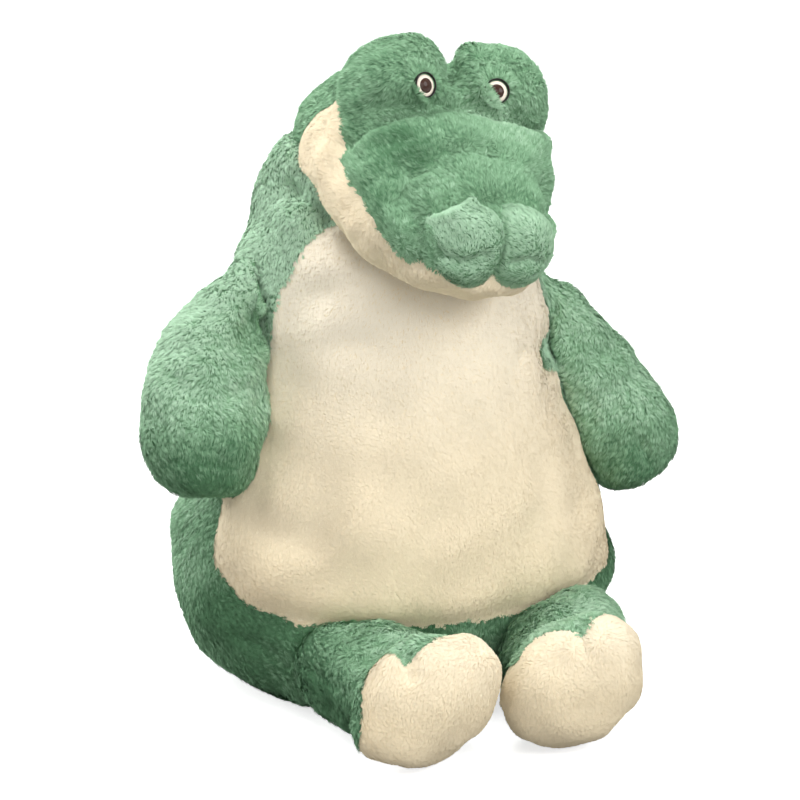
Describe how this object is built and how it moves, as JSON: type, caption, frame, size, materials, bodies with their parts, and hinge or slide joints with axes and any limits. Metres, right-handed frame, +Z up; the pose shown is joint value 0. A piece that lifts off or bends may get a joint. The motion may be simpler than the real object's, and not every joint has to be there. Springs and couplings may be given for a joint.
{
  "type": "weighted stuffed animal",
  "caption": "Sitting plush crocodile with a soft weighted body, drooping snout, hanging arms, short forward legs and a stub tail.",
  "frame": {"origin": "the point of the flat seat panel's underside that lies under the torso's axis", "axes": "+Z up; the toy faces -Y, with its right side towards -X"},
  "size_m": [0.439, 0.486, 0.5055],
  "materials": {
    "green_fur": "short dense soft pile",
    "cream_fur": "short dense soft pile",
    "polyester_fibre": "loose fibre filling",
    "pouch_cloth": "plain weave",
    "beads": "pellets",
    "eye_black": "polished",
    "eye_white": "polished",
    "eye_brown": "polished",
    "washer_plastic": "moulded"
  },
  "bodies": {
    "torso": {"body_back_cover": "green_fur", "belly_panel": "cream_fur", "seat_panel": "green_fur", "torso_filling": "polyester_fibre", "bead_pouch_base": "pouch_cloth", "bead_pouch_top": "pouch_cloth", "weighting_beads": "beads"},
    "head": {"brow_cover": "green_fur", "snout_cover": "green_fur", "jaw_panel": "cream_fur", "nose_puff_right": "green_fur", "nose_puff_left": "green_fur", "head_filling": "polyester_fibre", "right_eye_rim": "eye_black", "right_eye_white": "eye_white", "right_eye_pupil": "eye_brown", "right_eye_washer": "washer_plastic", "left_eye_rim": "eye_black", "left_eye_white": "eye_white", "left_eye_pupil": "eye_brown", "left_eye_washer": "washer_plastic"},
    "right_arm": {"right_arm_outer_panel": "green_fur", "right_arm_inner_panel": "green_fur", "right_arm_filling": "polyester_fibre"},
    "left_arm": {"left_arm_outer_panel": "green_fur", "left_arm_inner_panel": "green_fur", "left_arm_filling": "polyester_fibre"},
    "right_leg": {"right_leg_top_panel": "green_fur", "right_leg_bottom_panel": "green_fur", "right_foot_sole": "cream_fur", "right_leg_filling": "polyester_fibre"},
    "left_leg": {"left_leg_top_panel": "green_fur", "left_leg_bottom_panel": "green_fur", "left_foot_sole": "cream_fur", "left_leg_filling": "polyester_fibre"},
    "tail": {"tail_top_panel": "green_fur", "tail_bottom_panel": "green_fur", "tail_filling": "polyester_fibre"}
  },
  "joints": [
    {"name": "head_nod", "type": "hinge", "parent": "torso", "child": "head", "pos_m": [-0.0114, 0.06913, 0.3604], "axis": [-0.9925, -0.1219, 0], "range_deg": [0, 20]},
    {"name": "right_arm_lift", "type": "hinge", "parent": "torso", "child": "right_arm", "pos_m": [-0.11386, -0.005, 0.35338], "axis": [0, 1, 0], "range_deg": [0, 60]},
    {"name": "left_arm_lift", "type": "hinge", "parent": "torso", "child": "left_arm", "pos_m": [0.11764, -0.005, 0.31938], "axis": [0, -1, 0], "range_deg": [0, 60]},
    {"name": "right_leg_splay", "type": "hinge", "parent": "torso", "child": "right_leg", "pos_m": [-0.12112, -0.08721, 0.0455], "axis": [0, 0, -1], "range_deg": [0, 30]},
    {"name": "left_leg_splay", "type": "hinge", "parent": "torso", "child": "left_leg", "pos_m": [0.14712, -0.05177, 0.0455], "axis": [0, 0, 1], "range_deg": [0, 30]},
    {"name": "tail_lift", "type": "hinge", "parent": "torso", "child": "tail", "pos_m": [0, 0.13439, 0.09784], "axis": [1, 0, 0], "range_deg": [0, 35]}
  ]
}
